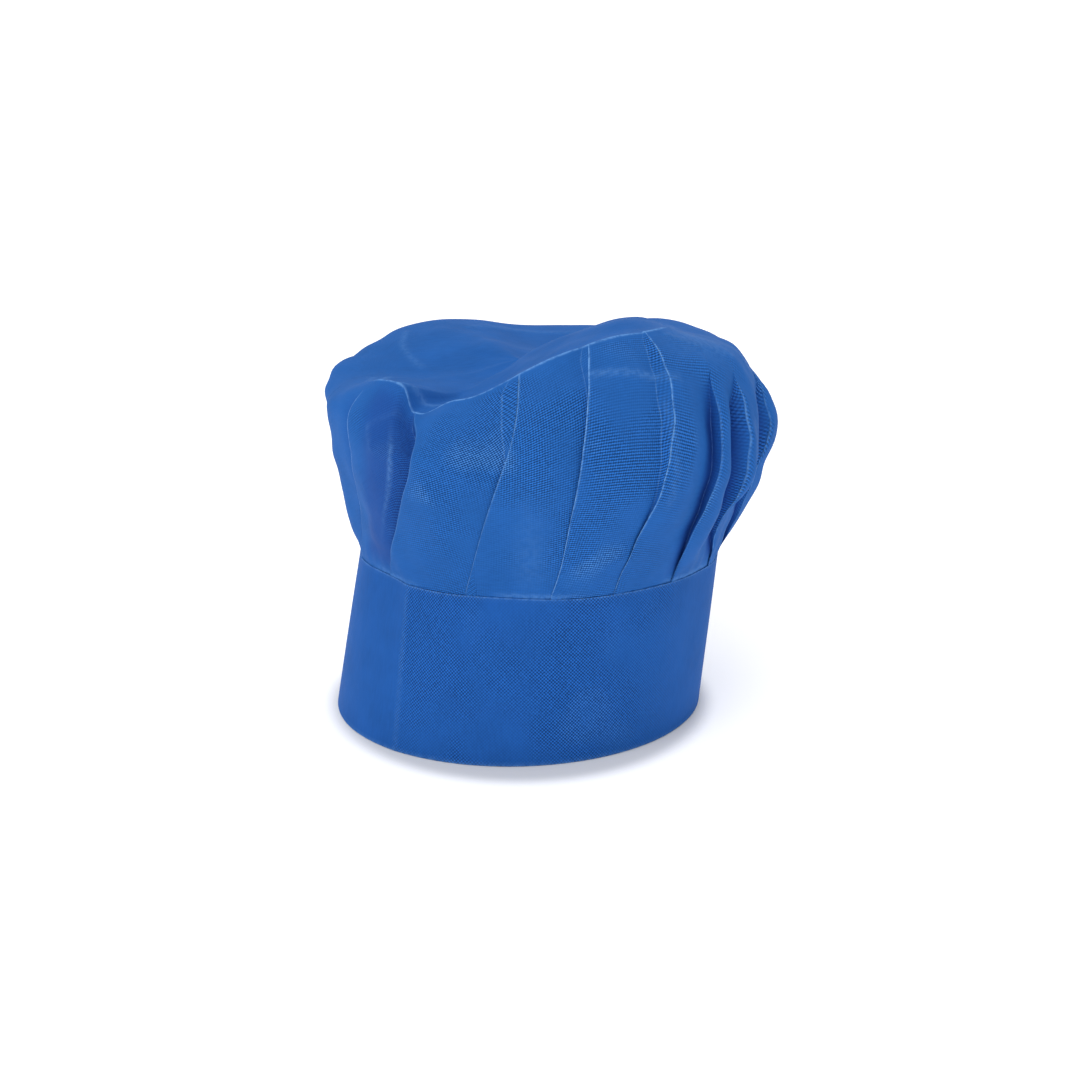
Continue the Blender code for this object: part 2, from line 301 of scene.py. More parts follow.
def ring(table, azimuth):
    """(radius, height) in metres on a ring of the crown."""
    points = np.array(table, float) / 1000
    n = len(points)
    spot = (azimuth % 360) / (360 / n)
    k = np.floor(spot).astype(int)
    t = (spot - k)[..., None]
    return spline(*(points[(k + i) % n] for i in (-1, 0, 1, 2)), t)


def place(azimuth, radius, height):
    turn = np.radians(azimuth)
    x = AXIS[0] + radius * np.sin(turn)
    y = AXIS[1] - radius * np.cos(turn)
    return np.stack(np.broadcast_arrays(x, y, height), -1)


def front_only(azimuth):
    return 1 - smooth((np.abs(signed(azimuth)) - HANDLED_REACH) / HANDLED_FADE)


def band_radius(azimuth, height):
    """Radius of the headband's outer face, with the soft dents and packing creases of handled cloth."""
    share = height / BAND_HEIGHT
    turn = np.radians(azimuth)
    a = signed(azimuth)
    oval = BAND_OVAL * np.cos(2 * np.radians(azimuth - CREASE_AZIMUTH)) * (1 - share)
    lean = BAND_LEAN * share * np.sin(turn)
    creases = sum(mm / 1000 * gauss(a - at - drift * share, width) for at, drift, width, mm in BAND_CREASES)
    waves = sum(mm / 1000 * np.sin(n * turn + phase + shift * share) for n, phase, shift, mm in BAND_WAVES)
    handled = oval + lean + creases * (0.15 + 0.85 * share) + waves * share
    return BAND_RADIUS - BAND_TAPER * share + handled * front_only(azimuth)


def band_top(azimuth):
    """Height of the headband's upper edge."""
    turn = np.radians(azimuth)
    waves = sum(mm / 1000 * np.sin(n * turn + phase) for n, phase, mm in EDGE_WAVES)
    return BAND_HEIGHT + waves * front_only(azimuth)


def on_band(azimuth, height, offset=0.0):
    azimuth = np.float64(azimuth)
    return tuple(place(azimuth, band_radius(azimuth, height) + offset, height))


def notched(rim, azimuth):
    """The rim ring with the notch in its pressed ridge."""
    past = signed(azimuth) - NOTCH_START
    notch = smooth(past / NOTCH_DROP) * (1 - smooth((past - NOTCH_BOTTOM) / NOTCH_CLIMB))
    return rim - np.stack([0 * notch, NOTCH_DEPTH * notch], -1)


def crown_profile(azimuth, v):
    """(radius, height) on the unpleated crown."""
    top = band_top(azimuth)
    seam = np.stack([band_radius(azimuth, BAND_HEIGHT) - SEAM_DEPTH, top], -1)
    low, bulge, shoulder, rim, saddle = (
        ring(table, azimuth) for table in (LOWER_RING, BULGE_RING, SHOULDER_RING, RIM_RING, SADDLE_RING)
    )
    rim = notched(rim, azimuth)
    pole = np.stack([np.zeros_like(top), np.full_like(top, TOP_MIDDLE)], -1)
    # The rim is a sharp ridge at the front and a soft shoulder everywhere else
    soft = smooth((np.abs(signed(azimuth) - RIDGE_MIDDLE) - RIDGE_REACH) / RIDGE_FADE)[..., None]
    after_rim = soft * saddle + (1 - soft) * (2 * rim - shoulder)
    before_rim = soft * shoulder + (1 - soft) * (2 * rim - saddle)
    side = [2 * seam - low, seam, low, bulge, shoulder, rim, after_rim]
    over = [before_rim, rim, saddle, pole, 2 * pole - saddle]
    out = np.zeros(np.shape(v) + (2,))
    for k in range(SEAM_V, RIM_V):
        piece = spline(*side[k : k + 4], (v - k)[..., None])
        out = np.where(((v >= k) & (v <= k + 1))[..., None], piece, out)
    for k in range(RIM_V, POLE_V):
        piece = spline(*over[k - RIM_V : k - RIM_V + 4], (v - k)[..., None])
        out = np.where((v > k)[..., None], piece, out)
    hidden = top + v * SEAM_ALLOWANCE
    below = np.stack([band_radius(azimuth, hidden) - SEAM_DEPTH, hidden], -1)
    return np.where((v < SEAM_V)[..., None], below, out)


def crown_point(azimuth, v, offset):
    """A point on the crown, lifted off its unpleated surface by offset."""
    step = 0.01
    here = crown_profile(azimuth, v)
    ahead = crown_profile(azimuth, np.minimum(v + step, POLE_V)) - crown_profile(azimuth, v - step)
    normal = np.stack([ahead[..., 1], -ahead[..., 0]], -1)
    normal /= np.linalg.norm(normal, axis=-1, keepdims=True) + 1e-12
    p = here + normal * offset[..., None]
    return place(azimuth, p[..., 0], p[..., 1])


# ---------------------------------------------------------------- mesh making


def new_piece(name, points, faces, material, body=None, replaces=(), uv=None, values=None):
    mesh = bpy.data.meshes.new(name)
    mesh.from_pydata([tuple(p) for p in points], [], [tuple(f) for f in faces])
    mesh.shade_smooth()
    if uv is not None:
        layer = mesh.uv_layers.new(name="cloth")
        index = np.zeros(len(mesh.loops), np.int32)
        mesh.loops.foreach_get("vertex_index", index)
        layer.data.foreach_set("uv", np.asarray(uv, np.float32)[index].ravel())
    for key, data in (values or {}).items():
        layer = mesh.attributes.new(key, "FLOAT", "POINT")
        layer.data.foreach_set("value", np.asarray(data, np.float32).ravel())
    mesh.materials.append(material)
    item = bpy.data.objects.new(name, mesh)
    bpy.context.scene.collection.objects.link(item)
    if body:
        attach(item, body)
    if replaces:
        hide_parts(*replaces)
    return item


def grid_faces(rows, columns, wrap=False):
    """Quads of a grid stored row by row, azimuth along a row. They face out where the rows run upwards."""
    last = columns if wrap else columns - 1
    faces = []
    for r in range(rows - 1):
        for c in range(last):
            d = (c + 1) % columns
            faces.append((r * columns + c, r * columns + d, (r + 1) * columns + d, (r + 1) * columns + c))
    return faces


def weld(mesh):
    """Joins points that fall together where a pleat has opened out to nothing."""
    shape = bmesh.new()
    shape.from_mesh(mesh)
    bmesh.ops.remove_doubles(shape, verts=shape.verts, dist=WELD_DISTANCE)
    shape.to_mesh(mesh)
    shape.free()


def thicken(item, thickness, offset):
    """offset is -1 to grow inwards only and 0 to grow both ways."""
    solid = item.modifiers.new("cloth_thickness", "SOLIDIFY")
    solid.thickness = thickness
    solid.offset = offset
    solid.use_even_offset = False
    return item


def sweep(paths, radius, sides):
    """One mesh of round threads, each along its own row of points."""
    points, faces = [], []
    ring_angles = np.linspace(0, 2 * np.pi, sides, endpoint=False)
    slanted = np.array([0.31, 0.52, 0.79])  # a direction that no thread runs along
    for path in paths:
        path = np.asarray(path, float)
        tangent = np.gradient(path, axis=0)
        tangent /= np.linalg.norm(tangent, axis=1, keepdims=True)
        side = np.cross(tangent, slanted)
        side /= np.linalg.norm(side, axis=1, keepdims=True)
        up = np.cross(side, tangent)
        base = len(points)
        for p, s, w in zip(path, side, up):
            points += [p + radius * (math.cos(a) * s + math.sin(a) * w) for a in ring_angles]
        for r in range(len(path) - 1):
            for c in range(sides):
                d = (c + 1) % sides
                a = base + r * sides
                faces.append((a + c, a + sides + c, a + sides + d, a + d))
        faces.append(tuple(base + c for c in range(sides)))
        faces.append(tuple(base + (len(path) - 1) * sides + c for c in reversed(range(sides))))
    return points, faces


# ---------------------------------------------------------------- crown


def pleat(i, v):
    """Values at every v for the two strips of pleat i, side by side: its panel, from its fold to the
    valley beside the next fold, and the cloth that turns back there to reach that fold."""
    folds, _, depth, end, bend = PLEATS[i]
    following = (i + 1) % len(PLEATS)
    next_folds, next_tucks, next_depth, next_end, _ = PLEATS[following]
    own = 1 - smooth((v - end + PLEAT_FADE) / PLEAT_FADE)
    fade = 1 - smooth((v - next_end + PLEAT_FADE) / PLEAT_FADE)
    here = along(folds, v)
    there = along(next_folds, v) + (0 if following else 360)
    girth = crown_profile(there, v)[..., 0] + FOLD_OUT
    valley = there + np.degrees(along(next_tucks, v) / 1000 / girth) * fade
    width = np.radians(valley - here) * girth
    rise = along(RISE, v) * depth / 1000 * own
    next_rise = along(RISE, v) * next_depth / 1000 * fade
    dip = along(DIP, v) * next_depth / 1000 * fade
    shade_here = fade * min(max(next_depth - OPEN_DEPTH, 0) / 2, 1) * smooth(v / 0.6)

    f = ACROSS[None, :]
    belly = BELLY * np.sin(np.pi * f) * smooth(v / 1.5) * np.minimum(own, fade)
    fall = rise * (1 - 0.25 * gauss(f, 0.02)) * (1 - smooth(f * 0.9))
    sink = dip * smooth((f - bend) / (1 - bend)) ** (1.5 - bend)
    strength = (0.75 + 0.25 * math.sin(i * 2.1 + 1)) * (0.45 if depth > 2.9 else 1)
    # Pale lines on folds, in valleys and on bends: fibre whitening with a painted highlight
    on_fold = gauss(f * width, FOLD_LINE) * strength * np.sqrt(own)
    in_valley = gauss((1 - f) * width, VALLEY_LINE) * 0.25 * fade
    on_bend = gauss((f - bend) * width, BEND_LINE) * 0.4 * gauss(v - 2.1, 0.7) * (bend > 0.5)
    # Painted shade on the part of the panel that runs down into a deep pleat
    painted_shade = smooth(f * 3.3 - 2.3) * (1 if i else 0.6) * shade_here
    if i == 0:
        # The first panel faces away from the light beside the deep pleat at the front left, so it gets
        # painted shade
        turned = smooth(f * 3 - 0.4) * smooth(v / 0.6) * (1 - smooth((v - 3.5) / 0.6))
        painted_shade = np.maximum(painted_shade, 0.55 * turned)

    b = TURNED_BACK[None, :]
    both = {
        "azimuth": (here + (valley - here) * f, valley + (there - valley) * b),
        "offset": (fall - sink + belly, -dip + (dip + next_rise * 0.75) * b),
        "across": ((f - 0.5) * width, 0.5 * width + b * TURNED_WIDTH),
        "crease": (np.maximum(np.maximum(on_fold, in_valley), on_bend), 0 * b * v),
        "painted_shade": (painted_shade, (1 - b) * shade_here),
    }
    strips = {key: np.concatenate(pair, 1) for key, pair in both.items()}
    strips["turn"] = np.full(strips["azimuth"].shape, math.radians(PANEL_TURN * (i - LEVEL_PANEL)))
    return strips


def pressed_lines(azimuth, v):
    """Whitening and height of the creases that packing and handling pressed into the crown."""
    white = np.zeros(azimuth.shape)
    lift = np.zeros(azimuth.shape)
    for (a0, v0), (a1, v1), strength, height in PRESSED:
        along_a = math.radians(a1 - a0) * PRESSED_GIRTH
        along_v = (v1 - v0) * PRESSED_STEP
        length = math.hypot(along_a, along_v)
        da = np.radians(signed(azimuth - a0)) * PRESSED_GIRTH
        dv = (v - v0) * PRESSED_STEP
        t = (da * along_a + dv * along_v) / length
        side = (da * along_v - dv * along_a) / length
        inside = smooth((t + 0.004) / PRESSED_END) * (1 - smooth((t - length + 0.002) / PRESSED_END))
        white = np.maximum(white, strength * gauss(side, PRESSED_WHITE) * inside)
        lift += height / 1000 * gauss(side, PRESSED_WIDTH) * inside
    return white, lift


def front_highlight_streak(azimuth, v):
    """A painted highlight streak down the front, above the seam."""
    return gauss(signed(azimuth) - 3, 4) * gauss(v - LOWER_V, 0.7)


def pale_cloth_and_highlights(azimuth, v):
    """Paler cloth: whitening with a painted highlight on the ridge, painted highlights on the right
    shoulder and down the front, whitening here and there at the seam.
    """
    a = signed(azimuth)
    # The ridge line is fibre whitening with a painted highlight; the shoulder patch and the front streak
    # are painted highlights
    ridge = 0.6 * gauss(v - RIM_V, 0.022) * (1 - smooth((np.abs(a) - 48) / 14))
    shoulder = 0.14 * gauss(a - 66, 15) * gauss(v - 3.6, 0.45)
    seam = 0.22 * gauss(v - 0.05, 0.08) * smooth(0.2 + np.sin(np.radians(azimuth) * 7 + 1))
    return np.maximum(np.maximum(ridge, shoulder + 0.07 * front_highlight_streak(azimuth, v)), seam)


def worn_smooth(azimuth, v):
    """1 where the embossed lattice no longer shows: over the top, under the ridge, at the left."""
    a = signed(azimuth)
    top = 0.8 * smooth((v - 3.95) / 0.2)
    under_ridge = gauss(v - RIM_V, 0.13) * (1 - smooth((np.abs(a - 5) - 40) / 14))
    left = 0.75 * smooth((-52 - a) / 8) * smooth((a + 140) / 30) * smooth((v - 2.3) / 0.8)
    return np.maximum.reduce([top, under_ridge, left, 0.7 * front_highlight_streak(azimuth, v)])


def sheet_places(points, azimuth, v, across, turn):
    """Where each point lies on the round sheet before it is pleated, panel by panel. Over the top, where
    the sheet isn't pleated, that is simply its own direction from the middle."""
    steps = np.linalg.norm(np.diff(points, axis=0), axis=-1)
    reach = np.full(azimuth.shape, 0.002)
    reach[:-1] += np.cumsum(steps[::-1], 0)[::-1]
    far = (reach.mean(1, keepdims=True) + reach) / 2
    by_panel = np.stack(
        [far * np.cos(turn) - across * np.sin(turn), far * np.sin(turn) + across * np.cos(turn)], -1
    )
    direction = np.radians(azimuth)
    from_middle = np.stack([far * np.cos(direction), far * np.sin(direction)], -1)
    blend = smooth((v - RIM_V) / 0.5)[..., None]
    return by_panel * (1 - blend) + from_middle * blend


def smooth_field(points, seed, scale):
    """Smooth random field in space, about -1 to 1, with features about this size."""
    source = np.random.default_rng(seed)
    terms = 10
    total = np.zeros(points.shape[:-1])
    for _ in range(terms):
        direction = source.normal(size=3)
        direction /= np.linalg.norm(direction)
        length = scale * source.uniform(0.7, 1.6)
        total += np.sin(points @ direction * (2 * np.pi / length) + source.uniform(0, 2 * np.pi))
    return total / math.sqrt(terms)


def wrinkles(points, azimuth, v):
    """Handling dents over the whole crown, and gathers where the pleats crowd together at the right."""
    out = points - np.array([AXIS[0] + 0.01, AXIS[1], 0.13])
    out = out / np.linalg.norm(out, axis=-1, keepdims=True)
    body = smooth(v / 0.8) * (1 - 0.75 * gauss(v - RIM_V, 0.45))
    dents = 0.0011 * smooth_field(points, 3, 0.055) + 0.0005 * smooth_field(points, 5, 0.022)
    right = smooth((azimuth - 45) / 25) * (1 - smooth((azimuth - 110) / 25))
    upright = points * np.array([1, 1, 0.35])
    gathers = 0.0016 * right * smooth_field(upright, 11, 0.016) * gauss(v - 1.6, 1.3)
    seam = 0.00018 * np.sin(np.radians(azimuth) * 61) * gauss(v - 0.25, 0.3) * (v > 0)
    sideways = points * np.array([0.5, 1, 1])
    top = 0.0012 * smooth_field(sideways, 21, 0.035) * smooth((v - 4.1) / 0.5)
    return out * (((dents + gathers) * body + seam + top)[..., None])


def make_crown(material):
    rows = np.unique(np.concatenate([np.linspace(*stretch) for stretch in ROWS]))[:, None]
    strips = [pleat(i, rows) for i in range(len(PLEATS))]
    sheet = {key: np.concatenate([strip[key] for strip in strips], 1) for key in strips[0]}
    azimuth = sheet["azimuth"]
    v = np.broadcast_to(rows, azimuth.shape)
    pressed, lift = pressed_lines(azimuth, v)
    crease = sheet["crease"] * smooth((v + 0.1) / 0.3)
    crease = np.maximum.reduce([crease, pale_cloth_and_highlights(azimuth, v), pressed])
    points = crown_point(azimuth, v, sheet["offset"] + lift)
    points = points + wrinkles(points, azimuth, v)
    uv = sheet_places(points, azimuth, v, sheet["across"], sheet["turn"])

    count, columns = azimuth.shape
    pole = count * columns
    faces = grid_faces(count, columns, wrap=True)
    last = pole - columns
    faces += [(last + c, last + (c + 1) % columns, pole) for c in range(columns)]
    item = new_piece(
        "crown_cloth", np.vstack([points.reshape(-1, 3), points[-1].mean(0)]), faces, material,
        replaces=["crown"],
        uv=np.vstack([uv.reshape(-1, 2), [[0, 0]]]),
        values={
            "crease": np.append(crease, 0),
            "plain": np.append(worn_smooth(azimuth, v), 1),
            "painted_shade": np.append(sheet["painted_shade"], 0),
        },
    )
    weld(item.data)
    thicken(item, CLOTH, -1)
    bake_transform(item)


# ---------------------------------------------------------------- headband


def folded_path():
    """Section of a strip folded double at its lower edge: (offset, share of height) from outer top edge
    down, round the fold and up to the inner top edge."""
    inner = CLOTH - FOLDED
    path = [(0.0, h) for h in (1, 0.997, 0.988, *np.linspace(0.965, 0.035, 27))]
    for t in np.linspace(0, np.pi, 9):
        path.append((inner / 2 * (1 - math.cos(t)), 0.016 - 0.0135 * math.sin(t)))
    path += [(inner, h) for h in np.linspace(0.035, 1, 14)]
    return np.array(path)


def make_strip(name, first, last, lift, node, material):
    """The folded strip between two azimuths. lift says how far it stands off the band's surface."""
    path = folded_path()
    depth, share = path[:, :1], path[:, 1:]
    azimuth = np.linspace(first, last, int(abs(last - first)) + 2)
    azimuth = np.sort(np.append(azimuth, (first + END_STEP, last - END_STEP)))[None, :]
    height = share * band_top(azimuth)
    pucker = 0.00006 * np.sin(np.radians(azimuth) * 97) * smooth((share - 0.94) / 0.06)
    outside = depth > -FOLDED / 2
    radius = band_radius(azimuth, height) + depth + lift(azimuth) - CLOTH / 2 + pucker * outside
    azimuth = np.broadcast_to(azimuth, radius.shape)
    points = place(azimuth, radius, height)
    steps = np.linalg.norm(np.diff(points[:, 0], axis=0), axis=-1)
    length = np.concatenate([[0], np.cumsum(steps)])[:, None]
    up = np.broadcast_to(BAND_HEIGHT - length, radius.shape)
    uv = np.stack([np.radians(azimuth) * BAND_RADIUS, up], -1)

    a = signed(azimuth)
    edge = 0.28 * gauss(share - 1.0, 0.008) + 0.6 * gauss(length - BAND_HEIGHT, 0.0009)
    packed = 0.1 * gauss(a + 39, 0.6)
    left = smooth((-38.5 - a) / 3) * smooth((a + 96) / 14)
    under_seam = 0.7 * gauss(a + 8, 9) * gauss(share - 0.93, 0.07)
    right = 0.5 * gauss(a - 33, 12) * gauss(share - 0.9, 0.1)
    item = new_piece(
        name, points.reshape(-1, 3), [f[::-1] for f in grid_faces(*radius.shape)], material,
        replaces=[node],
        uv=uv.reshape(-1, 2),
        values={"crease": edge + packed, "plain": 0.9 * np.maximum.reduce([left, under_seam, right])},
    )
    return thicken(item, CLOTH, 0)


def flush(azimuth):
    return 0 * azimuth


def stepped_out(azimuth):
    return (TAB_OFFSET + FOLDED) * smooth((azimuth - OUTER_END_START) / STEP_OUT)


def make_headband(material):
    main = make_strip("headband_cloth", UNDER_END, 360 + BACK_START, flush, "headband", material)
    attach(main, "band")
    node = "headband_outer_end"
    rear = make_strip("headband_rear_cloth", BACK_START, BACK_END, stepped_out, node, material)
    start, end = on_band(BACK_START + 2, BLEND_HEIGHT), on_band(BACK_END - 4, BLEND_HEIGHT)
    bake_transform(rear)
    tab = make_strip("closure_tab_cloth", BACK_END, TAB_TIP, stepped_out, "closure_tab", material)
    start, end = (on_band(azimuth, BLEND_HEIGHT, TAB_OFFSET + FOLDED) for azimuth in TAB_BEND)
    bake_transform(tab)


# ---------------------------------------------------------------- fastening tapes


def make_tape(name, ends, offset, body, node, material):
    """The woven backing of a tape, with slightly raised selvedges."""
    azimuth = np.linspace(*ends, 60)[None, :]
    share = np.linspace(-0.5, 0.5, 21)[:, None]
    height = TAPE_MIDDLE + share * TAPE_WIDTH + 0 * azimuth
    selvedge = 0.00008 * smooth((np.abs(share) - 0.42) / 0.05)
    radius = band_radius(azimuth, height) + offset + selvedge
    azimuth = np.broadcast_to(azimuth, radius.shape)
    points = place(azimuth, radius, height)
    item = new_piece(
        name, points.reshape(-1, 3), grid_faces(*radius.shape), material, body, [node],
        uv=np.stack([np.radians(azimuth) * BAND_RADIUS, height], -1).reshape(-1, 2),
    )
    thicken(item, TAPE_BACKING, 0)


def tape_grid(ends, pitch):
    """Azimuths and heights of a tape's hooks or loops, each a little off its row and none on the edges."""
    step = math.degrees(pitch / BAND_RADIUS)
    spots = []
    row = 0
    height = TAPE_MIDDLE - TAPE_WIDTH / 2 + 0.0022
    highest = TAPE_MIDDLE + TAPE_WIDTH / 2 - 0.0018
    while height < highest:
        azimuth = ends[0] + 1.2 + (step / 2 if row % 2 else 0)
        while azimuth < ends[1] - 1.0:
            spots.append((azimuth + rng.uniform(-0.12, 0.12), height + rng.uniform(-0.0002, 0.0002)))
            azimuth += step
        height += pitch
        row += 1
    return spots


def make_loops(material):
    """Each loop is a half circle of filament that stands in its own direction."""
    paths = []
    for azimuth, height in tape_grid(LOOP_ENDS, LOOP_PITCH):
        lean = rng.uniform(-0.7, 0.7)
        wide = rng.uniform(0.4, 0.6)
        path = []
        for t in np.linspace(0, np.pi, 6):
            sideways = math.degrees(-0.0008 * wide * math.cos(t) / BAND_RADIUS) * math.cos(lean)
            upwards = -0.0006 * math.cos(t) * math.sin(lean)
            out = 0.0009 + 0.0007 * math.sin(t) * (0.8 + 0.4 * wide)
            path.append(on_band(azimuth + sideways, height + upwards, out))
        paths.append(path)
    points, faces = sweep(paths, LOOP_FILAMENT, 4)
    new_piece("loop_tape_pile", points, faces, material, "band")


def make_hooks(material):
    """Each hook is a filament that stands straight on the tape and curls over at its tip."""
    curl = ((0, 0.0), (0, 0.0004), (0.0001, 0.0006), (0.0003, 0.00066), (0.00042, 0.0005))
    root = HOOK_TAPE_OFFSET - 0.0002
    paths = []
    for azimuth, height in tape_grid(HOOK_ENDS, HOOK_PITCH):
        side = rng.choice((-1, 1))
        paths.append([
            on_band(azimuth + side * math.degrees(over / BAND_RADIUS), height, root - drop)
            for over, drop in curl
        ])
    points, faces = sweep(paths, HOOK_FILAMENT, 4)
    new_piece("hook_tape_hooks", points, faces, material, "closure_tab")


# ---------------------------------------------------------------- stitching


def stitches(name, spots, offset, body, replaces, material):
    """Real stitches along a line of (azimuth, height) spots: each dips into the cloth at both ends."""
    track = np.array([on_band(*spot, offset) for spot in spots])
    under = np.array([on_band(*spot, offset - STITCH_SINK) for spot in spots])
    far = np.concatenate([[0], np.cumsum(np.linalg.norm(np.diff(track, axis=0), axis=1))])
    t = np.linspace(0, 1, 7)
    depth = (np.abs(2 * t - 1) ** 4)[:, None]
    paths = []
    start = 0.0
    while start + STITCH < far[-1]:
        s = start + t * STITCH
        top = np.stack([np.interp(s, far, track[:, k]) for k in range(3)], 1)
        low = np.stack([np.interp(s, far, under[:, k]) for k in range(3)], 1)
        paths.append(top * (1 - depth) + low * depth)
        start += STITCH + STITCH_GAP
    points, faces = sweep(paths, THREAD, 6)
    new_piece(name, points, faces, material, body, replaces)


def rectangle(ends):
    """Spots round a tape, just inside its edges."""
    inset = math.degrees(STITCH_INSET / BAND_RADIUS)
    left, right = ends[0] + inset, ends[1] - inset
    low = TAPE_MIDDLE - TAPE_WIDTH / 2 + STITCH_INSET
    high = TAPE_MIDDLE + TAPE_WIDTH / 2 - STITCH_INSET
    spots = [(a, low) for a in np.arange(left, right, 0.5)]
    spots += [(right, h) for h in np.arange(low, high, 0.001)]
    spots += [(a, high) for a in np.arange(right, left, -0.5)]
    spots += [(left, h) for h in np.arange(high, low, -0.001)]
    return spots


def make_seam(offset, material):
    """The zigzag seam on the inside that holds the crown in the headband."""
    azimuths = np.arange(UNDER_END + 2, 360 + 134, SEAM_STEP)
    low = BAND_HEIGHT - SEAM_DROP
    path = [on_band(a, low + SEAM_ZIGZAG * (i % 2), offset) for i, a in enumerate(azimuths)]
    points, faces = sweep([path], SEAM_THREAD, 6)
    new_piece("crown_seam_stitches", points, faces, material, "band", ["crown_seam_stitching"])


def make_stitching(material):
    inside = -FOLDED - 0.00005
    outside = TAB_OFFSET + FOLDED + 0.00005
    on_loops = 0.00105
    loops, hooks = rectangle(LOOP_ENDS), rectangle(HOOK_ENDS)
    under_end = [(UNDER_END + END_INSET, h) for h in END_HEIGHTS]
    tab_end = [(TAB_TIP - END_INSET, h) for h in END_HEIGHTS]
    stitches("loop_tape_stitches", loops, inside, "band", ["loop_tape_stitching"], material)
    stitches("loop_tape_face_stitches", loops, on_loops, "band", [], material)
    stitches("hook_tape_stitches", hooks, outside, "closure_tab", ["hook_tape_stitching"], material)
    stitches("band_end_stitches", under_end, inside, "band", ["band_end_stitching"], material)
    stitches("tab_end_stitches", tab_end, outside, "closure_tab", ["tab_end_stitching"], material)
    make_seam(inside - 0.0001, material)


# ---------------------------------------------------------------- materials


class Tree:
    """A short way to write node trees."""

    def __init__(self, name):
        self.material = bpy.data.materials.new(name)
        self.material.use_nodes = True
        self.tree = self.material.node_tree
        self.shader = self.tree.nodes["Principled BSDF"]

    def put(self, socket, value):
        if isinstance(value, bpy.types.NodeSocket):
            self.tree.links.new(value, socket)
        else:
            socket.default_value = value

    def node(self, kind, *values, out=0, **settings):
        item = self.tree.nodes.new(kind)
        for key, value in settings.items():
            if key in item.inputs:
                self.put(item.inputs[key], value)
            else:
                setattr(item, key, value)
        for i, value in enumerate(values):
            if value is not None:
                self.put(item.inputs[i], value)
        return item.outputs[out]

    def noise(self, where, scale, detail=2.0, **settings):
        return self.node("ShaderNodeTexNoise", where, Scale=scale, Detail=detail, **settings)

    def math(self, operation, a, b):
        return self.node("ShaderNodeMath", a, b, operation=operation)

    def times(self, a, b):
        return self.math("MULTIPLY", a, b)

    def plus(self, a, b):
        return self.math("ADD", a, b)

    def spread(self, value, low, high, to_low=0.0, to_high=1.0):
        ends = (low, high, to_low, to_high)
        return self.node("ShaderNodeMapRange", value, *ends, interpolation_type="SMOOTHSTEP")

    def mesh_value(self, name):
        return self.node("ShaderNodeAttribute", attribute_name=name, out=2)

    def places(self):
        """Where the point is in the object, before it moves."""
        return self.node("ShaderNodeTexCoord", out=3)

    def mix(self, share, a, b):
        item = self.tree.nodes.new("ShaderNodeMix")
        item.data_type = "RGBA"
        for socket, value in ((item.inputs[0], share), (item.inputs[6], a), (item.inputs[7], b)):
            self.put(socket, value)
        return item.outputs[2]

    def set(self, **values):
        for key, value in values.items():
            self.put(self.shader.inputs[key.replace("_", " ")], value)


def shade(colour, factor):
    return (*(min(c * factor, 1.0) for c in colour), 1)


def emboss(t, uv, where, turn, rows, columns):
    """How strongly the embossed lattice's pressed points and the raised cloth between them show."""
    scale = (1 / EMBOSS_PITCH,) * 3
    turned = t.node("ShaderNodeMapping", uv, Rotation=(0, 0, math.radians(turn)), Scale=scale)
    parts = t.tree.nodes.new("ShaderNodeSeparateXYZ")
    t.put(parts.inputs[0], turned)
    x, y = (t.math("COSINE", t.times(parts.outputs[k], 2 * math.pi), None) for k in (0, 1))
    lattice = t.plus(t.times(x, rows), t.times(y, columns))
    lattice = t.plus(lattice, t.spread(t.noise(where, 1100.0), 0.3, 0.7, -0.5, 0.5))
    # It fades along the line of sight, where the cloth is worn, deep in a pleat and in soft patches
    clear = t.spread(t.node("ShaderNodeLayerWeight", 0.5, out=1), 0.25, 0.62, 1.0, 0.0)
    clear = t.times(clear, t.spread(t.mesh_value("plain"), 0.0, 1.0, 1.0, 0.0))
    clear = t.times(clear, t.spread(t.mesh_value("painted_shade"), 0.6, 1.0, 1.0, 0.2))
    clear = t.times(clear, t.spread(t.noise(where, 26.0, 3.0), 0.36, 0.6, 0.2, 1.0))
    pressed = t.times(t.spread(lattice, 0.1, 1.3), clear)
    raised = t.times(t.spread(lattice, -0.3, -1.5), clear)
    return pressed, raised


def matted_fibres(t, uv):
    """Fine fibres that run in two directions."""
    lengthways = t.node("ShaderNodeMapping", uv, Scale=(900, 120, 1))
    slanted = t.node("ShaderNodeMapping", uv, Rotation=(0, 0, 1.1), Scale=(700, 140, 1))
    return t.times(t.plus(t.noise(lengthways, 1.0, 3.0), t.noise(slanted, 1.0, 3.0)), 0.5)


